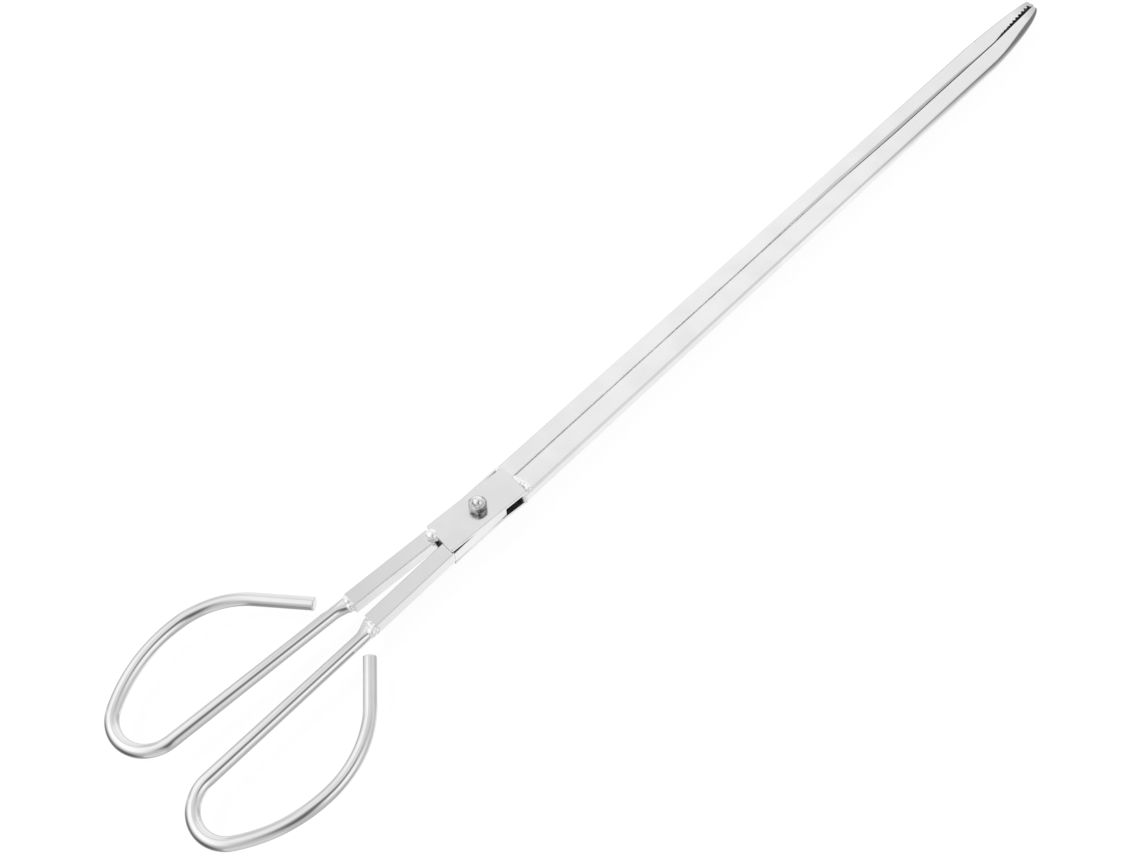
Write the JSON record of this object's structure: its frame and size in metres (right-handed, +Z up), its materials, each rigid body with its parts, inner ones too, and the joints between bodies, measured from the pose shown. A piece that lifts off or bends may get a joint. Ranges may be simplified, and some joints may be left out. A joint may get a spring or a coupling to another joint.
{
  "type": "barbecue tongs",
  "caption": "Long scissor tongs of polished steel, with open wire finger loops, a bolted pivot and slim channel jaws with toothed tips, closed.",
  "frame": {"origin": "on the pivot bolt's axis, at the underside of the bolt's head, which the tongs rest on", "axes": "+X from the pivot to the jaw tips, +Z up along the bolt to the cap nut, +Y towards handle A's side; the jaws are closed"},
  "size_m": [0.6535, 0.1085, 0.0245],
  "materials": {
    "sheet_steel": "polished stainless sheet",
    "wire_steel": "polished stainless round rod",
    "weld": "bright weld bead",
    "fastener": "bright plated fastener"
  },
  "bodies": {
    "arm_b": {"handle_bar_b": "sheet_steel", "finger_loop_b": "wire_steel", "loop_weld_b": "weld", "bar_weld_b": "weld", "pivot_bracket_b": "sheet_steel", "jaw_b": "sheet_steel", "jaw_weld_b": "weld", "pivot_bolt": "fastener", "cap_nut": "fastener", "head_washer": "fastener", "lower_washer": "fastener", "upper_washer": "fastener", "spacer_sleeve": "fastener"},
    "arm_a": {"handle_bar_a": "sheet_steel", "finger_loop_a": "wire_steel", "loop_weld_a": "weld", "bar_weld_a": "weld", "pivot_plate_a": "sheet_steel", "jaw_a": "sheet_steel", "jaw_weld_a": "weld"}
  },
  "joints": [
    {"name": "pivot", "type": "hinge", "parent": "arm_b", "child": "arm_a", "pos_m": [0, 0, 0], "axis": [0, 0, -1], "range_deg": [0, 60]}
  ]
}
